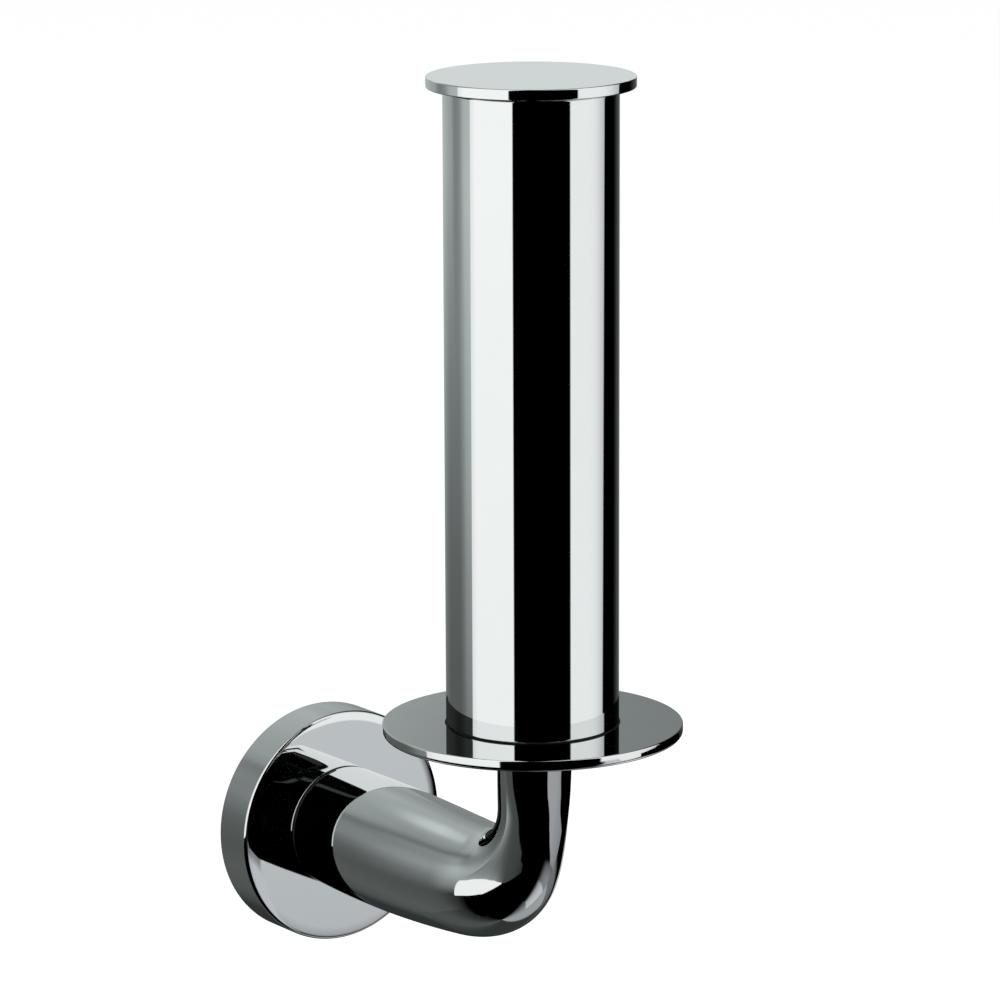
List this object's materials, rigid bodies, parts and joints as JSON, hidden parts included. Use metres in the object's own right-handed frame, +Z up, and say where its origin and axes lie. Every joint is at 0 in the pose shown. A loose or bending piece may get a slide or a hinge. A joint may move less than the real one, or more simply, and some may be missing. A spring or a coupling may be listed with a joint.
{
  "type": "vertical toilet paper holder",
  "caption": "Wall-mounted chrome holder for an upright spare toilet roll: round rosette, curved arm, flange, tube and cap.",
  "frame": {"origin": "centre of the rosette on the plane of the wall", "axes": "+Y into the wall, -Y out along the arm, +Z up along the post, X across"},
  "size_m": [0.06, 0.107, 0.1917],
  "materials": {
    "chrome": "polished chrome on brass",
    "plated_steel": "zinc plated",
    "rubber": "matte",
    "plug_plastic": "turned acetal"
  },
  "bodies": {
    "root": {"wall_pad": "rubber", "wall_plate": "plated_steel", "grub_screw": "plated_steel", "rosette": "chrome", "spring_washer": "plated_steel", "clamp_washer": "plated_steel", "arm_screw": "plated_steel", "locating_pin": "plated_steel", "arm_gasket": "rubber", "arm": "chrome", "stem_gasket": "rubber", "flange": "chrome", "foot_ring": "rubber", "lower_plug": "plug_plastic", "lower_ring": "rubber", "rod_washer": "plated_steel", "rod_nut": "plated_steel", "tie_rod": "plated_steel", "tube": "chrome", "upper_plug": "plug_plastic", "upper_ring": "rubber", "head_ring": "rubber", "cap": "chrome"}
  },
  "joints": []
}
